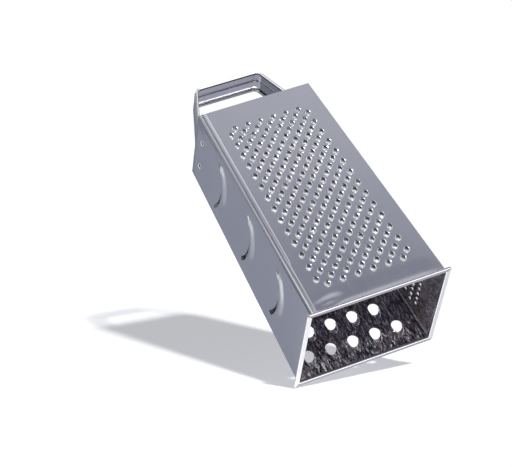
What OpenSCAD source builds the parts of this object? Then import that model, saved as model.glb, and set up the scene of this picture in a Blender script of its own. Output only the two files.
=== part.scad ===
// Four-sided box grater: four stamped sheet walls that taper to the top, hooked
// together along the corners, with a strip handle riveted inside the two side walls.
// Z is up, the rolled foot stands on z = 0 and the rasping wall faces -Y.

/* [Body] */
// Clear width between the side walls at the foot
bottom_w = 100; // [92:1:110]
// Clear depth between the front and back walls at the foot
bottom_d = 75.5; // [70:0.5:84]
// Clear width between the side walls at the top edge
top_w = 84.6; // [78:0.2:92]
// Clear depth between the front and back walls at the top edge
top_d = 57.2; // [52:0.2:64]
// Height of the four walls
body_h = 191; // [181:1:205]
// Thickness of the wall sheet
sheet = 0.5; // [0.4:0.1:0.7]

/* [Foot hem] */
// Reach of the turned-out foot from the inner wall face
foot_reach = 3.4; // [2.8:0.1:4.2]
// Height of the folded foot
foot_h = 1.8; // [1.6:0.1:2.4]
// Gap left open at each mitred foot corner
foot_gap = 0.3; // [0.2:0.1:0.5]

/* [Corner seams] */
// Width of the hook that a wall folds over its neighbour
hook_w = 1.3; // [1:0.1:1.8]
// Width of the folded-back band beside the hook
band_w = 2.8; // [2:0.1:3.4]
// Groove between the hook and the band
seam_groove = 0.5; // [0.3:0.1:0.8]

/* [Rasp wall, front] */
// Depth of the top row of points below the walls' top edge
rasp_drop = 20.9; // [17:0.1:26]
// Least height of the lowest row of points
rasp_low = 18; // [16:0.5:30]
// Points between two columns, top row
rasp_pitch_top = 9.84; // [9.2:0.02:10.4]
// Points between two columns, bottom row
rasp_pitch_bottom = 11.35; // [10.4:0.05:11.6]
// Points in a long row
rasp_count = 7; // [5:1:7]
// Half diagonal of a point where it leaves the sheet
rasp_foot_r = 2.35; // [2:0.05:2.5]
// Half diagonal of a point at its torn tip
rasp_tip_r = 1.45; // [1.3:0.05:1.6]
// Half diagonal of the pierced opening
rasp_bore_r = 1.1; // [0.9:0.05:1.15]
// Height of a point above the sheet
rasp_h = 1.7; // [1.2:0.1:2]
// Sideways shift of the whole pattern away from the corner seam
rasp_shift = 0.6; // [0:0.1:1]

/* [Fine wall, right] */
// Depth of the top row of holes below the walls' top edge
fine_drop = 22.8; // [18:0.1:30]
// Least height of the lowest row of holes
fine_low = 20; // [16:0.5:30]
// Distance between two holes, top row
fine_pitch_top = 4.55; // [4.4:0.05:4.6]
// Distance between two holes, bottom row
fine_pitch_bottom = 5.4; // [5:0.05:5.6]
// Holes in a long row
fine_count = 11; // [9:1:11]
// Radius of a fine hole
fine_bore_r = 1.3; // [1.1:0.05:1.4]
// Radius of the raised collar round a fine hole
fine_collar_r = 1.85; // [1.75:0.05:2]
// Height of the collar's cutting lip above the sheet
fine_lip_h = 1; // [0.7:0.1:1.3]

/* [Coarse wall, back] */
// Depth of the top row of holes below the walls' top edge
coarse_drop = 19.5; // [17:0.5:25]
// Least height of the lowest row of holes
coarse_low = 15; // [13:0.5:22]
// Distance between two holes, top row
coarse_pitch_top = 14.9; // [14.2:0.1:15.4]
// Distance between two holes, bottom row
coarse_pitch_bottom = 17.15; // [16:0.05:17.6]
// Holes in a long row
coarse_count = 5; // [4:1:5]
// Radius of a coarse hole
coarse_bore_r = 4; // [3.6:0.1:4.2]
// Height of the hood over a coarse hole
coarse_hood_h = 3; // [2.4:0.1:3.2]
// Half width of the hood's mouth
coarse_hood_r = 4.6; // [4.3:0.1:4.9]
// Length of the hood below the hole's centre
coarse_hood_l = 9.2; // [8:0.1:9.6]

/* [Slicer wall, left] */
// Height of the lowest blade's crease
slice_low = 35.5; // [32:0.5:40]
// Depth of the highest blade's crease below the walls' top edge
slice_drop = 57.5; // [50:0.5:65]
// Number of blades
slice_count = 3; // [2:1:3]
// Radius of the crease that a blade rises from
slice_r = 43.5; // [42:0.5:48]
// Half width of a blade
slice_half_w = 26.5; // [24:0.5:27]
// Width of a blade from the crease to its edge
slice_blade_w = 6.5; // [5:0.1:7]
// Height of the cutting edge above the sheet
slice_blade_h = 1.5; // [1.2:0.1:2.4]
// Open slot beyond the cutting edge
slice_slot = 3.3; // [2.4:0.1:3.6]
// Length over which a blade's end comes down to the sheet
slice_end_l = 7; // [5:0.5:9]

/* [Handle] */
// Height of the handle's upper face above the walls' top edge
handle_rise = 39.5; // [32:0.5:48]
// Width of the handle strip
handle_w = 20.5; // [18:0.5:23]
// Thickness of the handle strip
handle_t = 0.8; // [0.6:0.1:1.2]
// Inward lean of the handle's legs
handle_lean_angle = 22; // [16:0.5:24]
// Outer radius of the handle's upper bends
handle_bend_r = 9; // [6:0.5:11]
// Depth of the rolled edges
edge_depth = 2.5; // [2:0.1:3.4]
// Width of the rolled edges
edge_w = 1.8; // [1.4:0.1:2.2]
// Depth of the middle rib
rib_depth = 1.6; // [1.2:0.1:2.4]
// Width of the middle rib
rib_w = 1.8; // [1.2:0.1:2.6]
// Width of the tabs inside the side walls
tab_w = 33; // [30:0.5:36]
// Length of a tab below the walls' top edge
tab_l = 19; // [16:0.5:24]

/* [Rivets] */
// Distance between the two rivets of a tab
rivet_pitch = 24.7; // [22:0.1:26]
// Depth of the rivets below the walls' top edge
rivet_drop = 11.5; // [9:0.5:13]
// Radius of a rivet's shank
rivet_r = 1.3; // [1:0.1:1.6]
// Radius of a rivet's head
rivet_head_r = 2.1; // [1.9:0.1:2.5]
// Height of a rivet's head
rivet_head_h = 0.7; // [0.5:0.1:1]
// Radial clearance of the shank in its holes
rivet_play = 0.15; // [0.1:0.05:0.25]

/* [Hidden] */

// Overrun of every cut, and the size of the blocks that stand for half spaces
over = 1;
block = 3 * body_h;
// Rise of the handle's side strips above the walls' top edge
clear_above = 1;
// Height below the top edge where the handle's leg starts to lean
lean_drop = 2;
// A row of teeth lies this share of its pitch below the row above
rasp_row_share = 0.5;
fine_row_share = 1.277;
coarse_row_share = 1.065;
// Radius left at the blunt end of a coarse hood, as a share of its sunk depth
hood_end_share = 0.85;
// The slant of a fine collar meets the sheet at this share of its radius above the hole
fine_heel_share = 0.6;
// Rivet heads narrow to this share of their radius
head_top_share = 0.6;

// Faces are numbered 0 front, 1 right, 2 back, 3 left
front_index = 0;
right_index = 1;
back_index = 2;
left_index = 3;
half_bottoms = [bottom_d / 2, bottom_w / 2, bottom_d / 2, bottom_w / 2];
half_tops = [top_d / 2, top_w / 2, top_d / 2, top_w / 2];
tilts = [for (k = [front_index : left_index]) atan((half_bottoms[k] - half_tops[k]) / body_h)];
small_side_count = 24;
wide_side_count = 128;

// Stands the children on the inner face of wall k: x to the right seen from
// outside, y up the slope, z outwards
module on_face(k)
    rotate([0, 0, 90 * k])
        translate([0, -half_bottoms[k], 0])
            rotate([90 - tilts[k], 0, 0])
                children();

// All space between two offsets from the inner face of wall k
module layer(k, from, to)
    on_face(k)
        translate([-block / 2, -block / 2, from])
            cube([block, block, to - from]);

// All space inwards of an offset from the inner face of wall k
module within(k, to)
    layer(k, to - block, to);

// All space between two heights
module storey(from, to)
    translate([-block / 2, -block / 2, from])
        cube([block, block, to - from]);

// A wall's plain sheet above the foot, running out to the given offsets of its neighbours
module wall_sheet(k, before, to_before, after, to_after)
    intersection() {
        layer(k, 0, sheet);
        storey(foot_h, body_h);
        within(before, to_before);
        within(after, to_after);
    }

// The lowest part of the sheet and the foot folded out of it, mitred at both corners
module foot(k) {
    run = half_bottoms[(k + 1) % 4];
    intersection() {
        layer(k, 0, sheet);
        storey(0, foot_h + over);
        within((k + 1) % 4, 0);
        within((k + 3) % 4, 0);
    }
    foot_layer(k, run, 0, sheet, 0);
    foot_layer(k, run, foot_h - sheet, foot_h, 2 * sheet);
    foot_layer(k, run, 0, foot_h, foot_reach - sheet);
}

// One layer of the foot from z = from to z = to, starting the given distance out
module foot_layer(k, run, from, to, inner)
    rotate([0, 0, 90 * k])
        translate([0, -half_bottoms[k], from])
            linear_extrude(to - from)
                polygon([
                    [-run - inner + foot_gap, -inner],
                    [run + inner - foot_gap, -inner],
                    [run + foot_reach - foot_gap, -foot_reach],
                    [-run - foot_reach + foot_gap, -foot_reach]
                ]);

// The hook that wall k folds over the outer face of wall onto
module hook(k, onto)
    intersection() {
        layer(onto, sheet, 2 * sheet);
        layer(k, -hook_w, sheet);
        storey(foot_h, body_h);
    }

// The band of wall k folded back on itself beside the hook of wall beside
module seam_band(k, beside)
    intersection() {
        layer(k, 0, 2 * sheet);
        layer(beside, -hook_w - seam_groove - band_w, -hook_w - seam_groove);
        storey(foot_h, body_h);
    }

// Distance of a row below the top row, for a pitch that grows evenly
function row_drop(r, rows, p_top, p_bottom, share) =
    share * (p_top * r + (p_bottom - p_top) * r * r / (2 * (rows - 1)));
function row_pitch(r, rows, p_top, p_bottom) =
    p_top + (p_bottom - p_top) * r / (rows - 1);

// Number of rows between the top one and the least height of the lowest one
function rows_between(top, low, p_top, p_bottom, share) =
    1 + floor((top - low) / (share * (p_top + p_bottom) / 2));
rasp_top = body_h - rasp_drop;
fine_top = body_h - fine_drop;
coarse_top = body_h - coarse_drop;
rasp_rows = rows_between(rasp_top, rasp_low, rasp_pitch_top, rasp_pitch_bottom, rasp_row_share);
fine_rows = rows_between(fine_top, fine_low, fine_pitch_top, fine_pitch_bottom, fine_row_share);
coarse_rows = rows_between(coarse_top, coarse_low, coarse_pitch_top, coarse_pitch_bottom,
    coarse_row_share);

// Repeats the children in staggered rows that fan out with the wall
module rows_of_teeth(k, top, rows, count, p_top, p_bottom, share, shift, odd_long)
    on_face(k)
        for (r = [0 : rows - 1]) {
            pitch = row_pitch(r, rows, p_top, p_bottom);
            number = (r % 2 == 1) == odd_long ? count : count - 1;
            for (c = [0 : number - 1])
                translate([
                    shift + (c - (number - 1) / 2) * pitch,
                    top - row_drop(r, rows, p_top, p_bottom, share),
                    0
                ])
                    children();
        }

module rasp_pattern()
    rows_of_teeth(front_index, rasp_top, rasp_rows, rasp_count, rasp_pitch_top,
        rasp_pitch_bottom, rasp_row_share, rasp_shift, true)
        children();

module fine_pattern()
    rows_of_teeth(right_index, fine_top, fine_rows, fine_count, fine_pitch_top,
        fine_pitch_bottom, fine_row_share, 0, false)
        children();

module coarse_pattern()
    rows_of_teeth(back_index, coarse_top, coarse_rows, coarse_count, coarse_pitch_top,
        coarse_pitch_bottom, coarse_row_share, 0, true)
        children();

// A pierced point: four flat flanks that rise to a torn square tip
module rasp_point()
    cylinder(h = sheet + rasp_h, r1 = rasp_foot_r, r2 = rasp_tip_r, $fn = 4);

module rasp_bore()
    translate([0, 0, -over])
        cylinder(h = sheet + rasp_h + 2 * over, r = rasp_bore_r, $fn = 4);

// A collar cut slantwise, so that its lower side stands up as a cutting lip
fine_slant = atan(fine_lip_h / (fine_collar_r * (1 + fine_heel_share)));
module fine_collar()
    intersection() {
        cylinder(h = sheet + fine_lip_h, r = fine_collar_r, $fn = small_side_count);
        translate([0, fine_collar_r * fine_heel_share, sheet])
            rotate([-fine_slant, 0, 0])
                translate([-block / 2, -block / 2, -block])
                    cube([block, block, block]);
    }

module fine_bore()
    translate([0, 0, -over])
        cylinder(h = sheet + fine_lip_h + 2 * over, r = fine_bore_r, $fn = small_side_count);

// Cone that a coarse hood follows, less a given wall
hood_r = (coarse_hood_r * coarse_hood_r + coarse_hood_h * coarse_hood_h) / (2 * coarse_hood_h);
hood_sunk = hood_r - coarse_hood_h;
module hood_cone(wall)
    translate([0, 0, sheet - hood_sunk])
        rotate([90, 0, 0])
            cylinder(h = coarse_hood_l, r1 = hood_r - wall,
                r2 = hood_sunk * hood_end_share - wall, $fn = 2 * small_side_count);

module coarse_bore()
    translate([0, 0, -over])
        cylinder(h = sheet + hood_r + 2 * over, r = coarse_bore_r, $fn = 2 * small_side_count);

module above_inner_face()
    translate([-block / 2, -block / 2, 0])
        cube([block, block, block]);

// Everything under a blade's surface, lowered by the given drop, out to an inner radius;
// both its ends come down to the sheet
slice_slope = slice_blade_w / slice_blade_h;
slice_end_angle = atan(slice_blade_h / slice_end_l);
module blade_end(drop)
    translate([slice_half_w, 0, sheet - drop])
        rotate([0, slice_end_angle, 0])
            translate([-block, -block / 2, -block])
                cube([2 * block, block, block]);

module blade_bulk(drop, inner_r) {
    below = sheet + drop + over;
    above = slice_blade_h + sheet + over;
    difference() {
        intersection() {
            translate([0, slice_r, sheet - drop - below])
                cylinder(h = below + above, r1 = slice_r + below * slice_slope,
                    r2 = slice_r - above * slice_slope, $fn = wide_side_count);
            blade_end(drop);
            mirror([1, 0, 0])
                blade_end(drop);
            translate([-block / 2, -block + slice_r, -block / 2])
                cube([block, block, block]);
        }
        translate([0, slice_r, -block / 2])
            cylinder(h = block, r = inner_r, $fn = wide_side_count);
    }
}

module blade()
    difference() {
        intersection() {
            blade_bulk(0, slice_r - slice_blade_w);
            above_inner_face();
        }
        blade_bulk(sheet, slice_r - slice_blade_w - slice_slot - over);
    }

module blade_cut()
    blade_bulk(sheet, slice_r - slice_blade_w - slice_slot);

slice_pitch = (body_h - slice_drop - slice_low) / (slice_count - 1);
module slicer_pattern()
    on_face(left_index)
        for (n = [0 : slice_count - 1])
            translate([0, slice_low + n * slice_pitch, 0])
                children();

// Outline of the handle seen from the front, from right tab over the top to the left one
handle_top = body_h + handle_rise;
rivet_y = body_h - rivet_drop;
wall_tilt = tilts[right_index];
lean_z = body_h - lean_drop;
function inward(a) = [-cos(a), -sin(a)];
function bisect_in(a, b) = (inward(a) + inward(b)) / (1 + inward(a) * inward(b));
function wall_x(z) = bottom_w / 2 - z * tan(wall_tilt);
lean_from = [wall_x(lean_z), lean_z];
lean_to = lean_from + [-sin(handle_lean_angle), cos(handle_lean_angle)]
    * (handle_top - lean_z) / cos(handle_lean_angle);
tab_z = body_h - tab_l;
tab_from = [wall_x(tab_z), tab_z];
bend_at = lean_to + handle_bend_r * bisect_in(handle_lean_angle, 90);
function mirrored(pts) = [for (n = [len(pts) - 1 : -1 : 0]) [-pts[n][0], pts[n][1]]];
function handle_half(o, longer) = [
    tab_from + o * inward(wall_tilt) + longer * [sin(wall_tilt), -cos(wall_tilt)],
    lean_from + o * bisect_in(wall_tilt, handle_lean_angle),
    bend_at - (handle_bend_r - o) * inward(handle_lean_angle),
    bend_at - (handle_bend_r - o) * inward(90)
];
module handle_fill(o, longer) {
    half = handle_half(o, longer);
    polygon(concat(half, mirrored(half)));
    for (side = [-1, 1])
        translate([side * bend_at[0], bend_at[1]])
            circle(r = handle_bend_r - o, $fn = 4 * small_side_count);
}

// The strip's side view between two depths below its outer face, above the height from
module handle_path(deep, from, to)
    intersection() {
        difference() {
            handle_fill(0, 0);
            handle_fill(deep, over);
        }
        translate([-bottom_w, from])
            square([2 * bottom_w, to - from]);
    }

module across(w)
    rotate([90, 0, 0])
        linear_extrude(w, center = true)
            children();

module rivet_places()
    for (k = [right_index, left_index])
        on_face(k)
            for (side = [-1, 1])
                translate([side * rivet_pitch / 2, rivet_y / cos(wall_tilt), 0])
                    children();

module rivet_hole()
    translate([0, 0, -handle_t - over])
        cylinder(h = sheet + handle_t + 2 * over, r = rivet_r + rivet_play, $fn = small_side_count);

module front_rasp_wall()
    color([0.72, 0.72, 0.74])
        difference() {
            union() {
                wall_sheet(front_index, left_index, 0, right_index, 2 * sheet);
                foot(front_index);
                hook(front_index, right_index);
                seam_band(front_index, left_index);
                rasp_pattern() rasp_point();
            }
            rasp_pattern() rasp_bore();
        }

module right_fine_wall()
    color([0.66, 0.67, 0.7])
        difference() {
            union() {
                wall_sheet(right_index, front_index, 0, back_index, 0);
                foot(right_index);
                seam_band(right_index, front_index);
                seam_band(right_index, back_index);
                fine_pattern() fine_collar();
            }
            fine_pattern() fine_bore();
            rivet_places() rivet_hole();
        }

module back_coarse_wall()
    color([0.7, 0.7, 0.72])
        difference() {
            union() {
                wall_sheet(back_index, left_index, 0, right_index, 2 * sheet);
                foot(back_index);
                hook(back_index, right_index);
                seam_band(back_index, left_index);
                coarse_pattern()
                    intersection() {
                        hood_cone(0);
                        above_inner_face();
                    }
            }
            coarse_pattern() hood_cone(sheet);
            coarse_pattern() coarse_bore();
        }

module left_slicer_wall()
    color([0.56, 0.58, 0.64]) {
        difference() {
            union() {
                wall_sheet(left_index, front_index, 2 * sheet, back_index, 2 * sheet);
                foot(left_index);
                hook(left_index, front_index);
                hook(left_index, back_index);
            }
            slicer_pattern() blade_cut();
            rivet_places() rivet_hole();
        }
        slicer_pattern() blade();
    }

module handle()
    color([0.75, 0.76, 0.79])
        difference() {
            union() {
                across(handle_w) handle_path(handle_t, lean_z - over, 2 * handle_top);
                across(tab_w) handle_path(handle_t, 0, lean_z);
                across(rib_w) handle_path(rib_depth, body_h + clear_above, 2 * handle_top);
                for (side = [-1, 1])
                    translate([0, side * (handle_w - edge_w) / 2, 0])
                        across(edge_w)
                            handle_path(edge_depth, body_h + clear_above, 2 * handle_top);
            }
            rivet_places() rivet_hole();
        }

module handle_rivets()
    color([0.5, 0.51, 0.54])
        rivet_places() {
            translate([0, 0, -handle_t])
                cylinder(h = sheet + handle_t, r = rivet_r, $fn = small_side_count);
            translate([0, 0, sheet])
                cylinder(h = rivet_head_h, r1 = rivet_head_r,
                    r2 = rivet_head_r * head_top_share, $fn = small_side_count);
            translate([0, 0, -handle_t - rivet_head_h])
                cylinder(h = rivet_head_h, r1 = rivet_head_r * head_top_share,
                    r2 = rivet_head_r, $fn = small_side_count);
        }

front_rasp_wall();
right_fine_wall();
back_coarse_wall();
left_slicer_wall();
handle();
handle_rivets();
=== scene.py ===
import math
import random

import bpy
from mathutils import Matrix, Vector


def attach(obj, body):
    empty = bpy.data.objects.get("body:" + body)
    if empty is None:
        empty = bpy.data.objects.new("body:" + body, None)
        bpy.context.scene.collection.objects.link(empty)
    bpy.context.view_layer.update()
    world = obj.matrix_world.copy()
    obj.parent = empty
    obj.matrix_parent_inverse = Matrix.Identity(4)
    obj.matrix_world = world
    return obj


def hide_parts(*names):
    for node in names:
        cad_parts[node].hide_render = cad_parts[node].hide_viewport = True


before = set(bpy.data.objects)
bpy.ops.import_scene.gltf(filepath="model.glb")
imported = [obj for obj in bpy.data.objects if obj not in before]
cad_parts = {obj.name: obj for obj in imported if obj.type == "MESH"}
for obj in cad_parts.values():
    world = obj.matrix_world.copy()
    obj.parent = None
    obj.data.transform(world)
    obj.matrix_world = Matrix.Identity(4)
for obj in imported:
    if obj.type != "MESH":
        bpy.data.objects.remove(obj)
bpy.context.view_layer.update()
scene = bpy.context.scene
random.seed(7)

# Everything is drawn in millimetres, each wall flat on its own drawing, and then set in place
millimetre = 0.001
closeFit = 0.03  # between pieces that touch
cutDepth = 3.0  # of what cuts through the sheet
slack = 0.01  # how near a point counts as on a line
hairSlack = 0.001
body = {
    "bottomWidth": 100.0,
    "bottomDepth": 75.5,
    "topWidth": 84.6,
    "topDepth": 57.2,
    "height": 191.0,
    "sheet": 0.5,
}
front, right, back, left = 0, 1, 2, 3


# Selecting and shaping a mesh

def objectMode():
    bpy.ops.object.mode_set(mode="OBJECT")


def editAll():
    bpy.ops.object.mode_set(mode="EDIT")
    bpy.ops.mesh.select_all(action="SELECT")


def applyPlace():
    bpy.ops.object.transform_apply(location=True, rotation=True, scale=True)


def clearSelection():
    if bpy.context.mode != "OBJECT":
        objectMode()
    bpy.ops.object.select_all(action="DESELECT")


def activate(piece):
    clearSelection()
    piece.select_set(True)
    bpy.context.view_layer.objects.active = piece


def justMade(name):
    piece = bpy.context.active_object
    piece.name = name
    piece.data.name = name
    return piece


def cylinder(name, sides, radius, depth, **place):
    clearSelection()
    bpy.ops.mesh.primitive_cylinder_add(vertices=sides, radius=radius, depth=depth, **place)
    piece = justMade(name)
    applyPlace()
    return piece


def ball(name, segments, rings):
    # its poles lie along the wall's slope
    clearSelection()
    bpy.ops.mesh.primitive_uv_sphere_add(
        segments=segments, ring_count=rings, radius=1, rotation=(math.pi / 2, 0, 0)
    )
    piece = justMade(name)
    applyPlace()
    return piece


def block(name, size, place=(0, 0, 0)):
    clearSelection()
    bpy.ops.mesh.primitive_cube_add(size=1, location=place)
    piece = justMade(name)
    piece.scale = size
    applyPlace()
    return piece


def clearPicks(piece):
    objectMode()
    mesh = piece.data
    for part in (mesh.vertices, mesh.edges, mesh.polygons):
        part.foreach_set("select", [False] * len(part))
    return mesh


def pickVerts(piece, test):
    for vertex in clearPicks(piece).vertices:
        vertex.select = test(vertex.co)
    bpy.ops.object.mode_set(mode="EDIT")
    bpy.ops.mesh.select_mode(type="VERT")


def pickEdges(piece, test):
    # test gets the edge's two ends
    mesh = clearPicks(piece)
    for edge in mesh.edges:
        a, b = (mesh.vertices[n] for n in edge.vertices)
        if test(a.co, b.co):
            edge.select = a.select = b.select = True
    bpy.ops.object.mode_set(mode="EDIT")
    bpy.ops.mesh.select_mode(type="EDGE")


def pull(offset):
    bpy.ops.mesh.extrude_region_move(TRANSFORM_OT_translate={"value": tuple(offset)})


def swing(centre, axis, degrees, steps):
    bpy.ops.mesh.spin(
        steps=steps, angle=math.radians(degrees), center=tuple(centre), axis=tuple(axis)
    )


def useModifier(piece, kind, **settings):
    activate(piece)
    modifier = piece.modifiers.new(kind.title(), kind)
    for key, value in settings.items():
        setattr(modifier, key, value)
    bpy.ops.object.modifier_apply(modifier=modifier.name)


def tidyNormals(piece):
    activate(piece)
    editAll()
    bpy.ops.mesh.remove_doubles(threshold=0.002)
    bpy.ops.mesh.normals_make_consistent(inside=False)
    objectMode()


def thicken(piece, thickness, offset=0.0):
    useModifier(
        piece, "SOLIDIFY", thickness=thickness, offset=offset, use_even_offset=True, use_rim=True
    )
    tidyNormals(piece)


def cut(piece, cutter):
    useModifier(piece, "BOOLEAN", operation="DIFFERENCE", solver="MANIFOLD", object=cutter)
    bpy.data.objects.remove(cutter)


def smoothTo(piece, degrees):
    activate(piece)
    bpy.ops.object.shade_smooth_by_angle(angle=math.radians(degrees))


def joinAll(pieces, name):
    clearSelection()
    for piece in pieces:
        piece.select_set(True)
    bpy.context.view_layer.objects.active = pieces[0]
    if len(pieces) > 1:
        bpy.ops.object.join()
    return justMade(name)


def copiesAt(master, places, name):
    # one copy with its own mesh at each place, all joined; the master goes
    made = []
    for place in places:
        copy = master.copy()
        copy.data = master.data.copy()
        copy.data.transform(place)
        scene.collection.objects.link(copy)
        made.append(copy)
    bpy.data.objects.remove(master)
    return joinAll(made, name)


def shiftedTo(spots):
    return [Matrix.Translation((x, y, 0)) for x, y in spots]


def smooth(share):
    share = min(1.0, max(0.0, share))
    return share * share * (3 - 2 * share)


# Where the walls stand

def halfBottom(wall):
    return (body["bottomDepth"], body["bottomWidth"])[wall % 2] / 2


def halfTop(wall):
    return (body["topDepth"], body["topWidth"])[wall % 2] / 2


def tilt(wall):
    return math.atan((halfBottom(wall) - halfTop(wall)) / body["height"])


def slopeTop(wall):
    return body["height"] / math.cos(tilt(wall))


def halfAcross(wall, up):
    # half of the wall's clear width at a distance up its slope
    return halfBottom(wall + 1) - up * math.cos(tilt(wall)) * math.tan(tilt(wall + 1))


def taper(wall):
    return halfAcross(wall, 0) - halfAcross(wall, 1)


def wallPlace(wall):
    return (
        Matrix.Scale(millimetre, 4)
        @ Matrix.Rotation(math.radians(90 * wall), 4, "Z")
        @ Matrix.Translation((0, -halfBottom(wall), 0))
        @ Matrix.Rotation(math.pi / 2 - tilt(wall), 4, "X")
    )


def setDown(piece, place, node):
    activate(piece)
    piece.matrix_world = place
    applyPlace()
    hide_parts(node)
    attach(piece, "root")
    print("placed", piece.name, len(piece.data.polygons), "faces")


# Materials: sockets that take part in sums, and the tree that they belong to

class Wire:
    def __init__(self, graph, socket):
        self.graph = graph
        self.socket = socket

    def sum(self, operation, *values):
        return self.graph.node("ShaderNodeMath", dict(enumerate(values)), operation=operation)

    def __add__(self, other):
        return self.sum("ADD", self, other)

    def __sub__(self, other):
        return self.sum("SUBTRACT", self, other)

    def __rsub__(self, other):
        return self.sum("SUBTRACT", other, self)

    def __mul__(self, other):
        return self.sum("MULTIPLY", self, other)

    __radd__ = __add__


class Graph:
    def __init__(self, tree):
        self.tree = tree
        tree.nodes.clear()

    def node(self, kind, inputs=None, output=0, stops=(), **settings):
        made = self.tree.nodes.new(kind)
        for key, value in settings.items():
            setattr(made, key, value)
        if stops:
            self.fillRamp(made.color_ramp, stops)
        for key, value in (inputs or {}).items():
            if isinstance(value, Wire):
                self.tree.links.new(value.socket, made.inputs[key])
            else:
                made.inputs[key].default_value = value
        return Wire(self, made.outputs[output]) if made.outputs else made

    def fillRamp(self, ramp, stops):
        # a stop is a place and a grey or a colour
        while len(ramp.elements) < len(stops):
            ramp.elements.new(0.5)
        for element, (place, shade) in zip(ramp.elements, stops):
            element.position = place
            element.color = (*shade, 1) if isinstance(shade, tuple) else (shade,) * 3 + (1,)

    def noise(self, place, scale, detail, **more):
        return self.node(
            "ShaderNodeTexNoise", {"Vector": place, "Scale": scale, "Detail": detail, **more}
        )

    def ramp(self, share, stops):
        return self.node("ShaderNodeValToRGB", {"Fac": share}, stops=stops)

    def bump(self, strength, distance, height):
        return self.node(
            "ShaderNodeBump", {"Strength": strength, "Distance": distance, "Height": height}
        )

    def mixColour(self, share, a, b):
        return self.node("ShaderNodeMix", {0: share, 6: a, 7: b}, output=2, data_type="RGBA")


def newMaterial(name):
    material = bpy.data.materials.new(name)
    material.use_nodes = True
    return material, Graph(material.node_tree)


def steelFinish(name, look):
    # rolled stainless sheet: long rolling lines, cloudy patches, hairline scratches and smudges
    material, graph = newMaterial(name)
    place = graph.node("ShaderNodeTexCoord", output="Object")
    along = graph.node("ShaderNodeMapping", {"Vector": place, "Scale": look["grainScale"]})
    grain = graph.noise(along, 1.0, 3.0, Roughness=0.6)
    clouds = graph.noise(place, look["cloudScale"], 4.0, Roughness=0.55)
    smudge = graph.noise(place, look["smudgeScale"], 6.0, Distortion=0.8)
    turned = graph.node(
        "ShaderNodeMapping",
        {"Vector": place, "Rotation": look["scratchTurn"], "Scale": look["scratchScale"]},
    )
    scratch = graph.ramp(graph.noise(turned, 1.0, 2.0), look["scratchStops"])
    speckle = graph.noise(place, look["speckleScale"], 1.0)
    colour = graph.mixColour(clouds, look["deep"], look["pale"])
    colour = graph.mixColour(scratch * look["scratchShare"], colour, look["scratchTint"])
    colour = graph.mixColour(grain * look["grainShare"], colour, look["grainTint"])
    roughness = (
        look["roughness"]
        + (smudge - 0.5) * look["roughnessSpread"]
        + (grain - 0.5) * look["grainRoughness"]
    )
    relief = grain * 0.4 + clouds * 0.1 + speckle * 0.2
    bump = graph.bump(look["bump"], look["bumpHeight"], relief)
    shader = graph.node(
        "ShaderNodeBsdfPrincipled",
        {"Base Color": colour, "Metallic": 1.0, "Roughness": roughness, "Normal": bump},
    )
    graph.node("ShaderNodeOutputMaterial", {"Surface": shader})
    return material


def insideFinish(name, look):
    # raw drawn sheet: streaks and dents down the slope, brownish blotches; its colours run much
    # darker than the outside's, partly the unpolished inner side and partly painted shade of the
    # box's inside
    material, graph = newMaterial(name)
    place = graph.node("ShaderNodeTexCoord", output="Object")
    along = graph.node("ShaderNodeMapping", {"Vector": place, "Scale": look["streakScale"]})
    streaks = graph.noise(along, 1.0, 3.0, Roughness=0.6, Distortion=1.1)
    patches = graph.noise(place, look["patchScale"], 3.0)
    fine = graph.noise(place, look["fineScale"], 2.0)
    colour = graph.ramp(streaks, look["stops"])
    colour = graph.mixColour(graph.ramp(patches, look["blotchStops"]), colour, look["blotch"])
    relief = streaks + fine * 0.3 + patches * 0.8
    bump = graph.bump(look["bump"], look["bumpHeight"], relief)
    marks = graph.ramp(streaks, look["marks"])
    shader = graph.node(
        "ShaderNodeBsdfPrincipled",
        {
            "Base Color": colour,
            "Metallic": 1 - marks,
            "Roughness": look["roughness"] + (patches - 0.5) * look["roughnessSpread"],
            "Normal": bump,
        },
    )
    graph.node("ShaderNodeOutputMaterial", {"Surface": shader})
    return material


wallLook = {
    "pale": (0.64, 0.647, 0.675, 1),
    "deep": (0.57, 0.58, 0.61, 1),
    "cloudScale": 22.0,
    "roughness": 0.23,
    "roughnessSpread": 0.05,
    "smudgeScale": 59.4,
    # rolling lines up the wall
    "grainTint": (0.72, 0.72, 0.74, 1),
    "grainScale": (1500.0, 1500.0, 26.0),
    "grainShare": 0.18,
    "grainRoughness": 0.12,
    # hairline scratches
    "scratchTint": (0.72, 0.72, 0.73, 1),
    "scratchScale": (1200.0, 1200.0, 18.0),
    "scratchTurn": (0.35, 0.6, 0.25),
    "scratchStops": [(0.62, 0.0), (0.7, 1.0)],
    "scratchShare": 0.2,
    "speckleScale": 2600.0,
    "bump": 0.05,
    "bumpHeight": 0.00012,
}
insideLook = {
    "streakScale": (800.0, 800.0, 190.0),
    "stops": [
        (0.4, (0.1, 0.09, 0.12)), (0.5, (0.3, 0.28, 0.34)), (0.58, (0.66, 0.63, 0.7)),
        (0.64, (1.0, 1.0, 1.0)),
    ],
    "patchScale": 95.0,
    "blotch": (0.52, 0.44, 0.44, 1),
    "blotchStops": [(0.5, 0.0), (0.66, 0.6)],
    "fineScale": 1400.0,
    "marks": [(0.53, 0.0), (0.66, 0.32)],  # where the matt scale shows
    "roughness": 0.16,
    "roughnessSpread": 0.2,
    "bump": 1.0,
    "bumpHeight": 0.0005,
}


def outsideSteel(name, pale, deep, **changes):
    return steelFinish(name, dict(wallLook, pale=(*pale, 1), deep=(*deep, 1), **changes))


# near-black steel for painted shade, all its tints the same
def paintedShadeSteel(name, tint, deep, roughness):
    tint = (*tint, 1)
    return steelFinish(name, dict(
        wallLook, pale=tint, deep=(*deep, 1), scratchTint=tint, grainTint=tint, roughness=roughness
    ))


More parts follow.
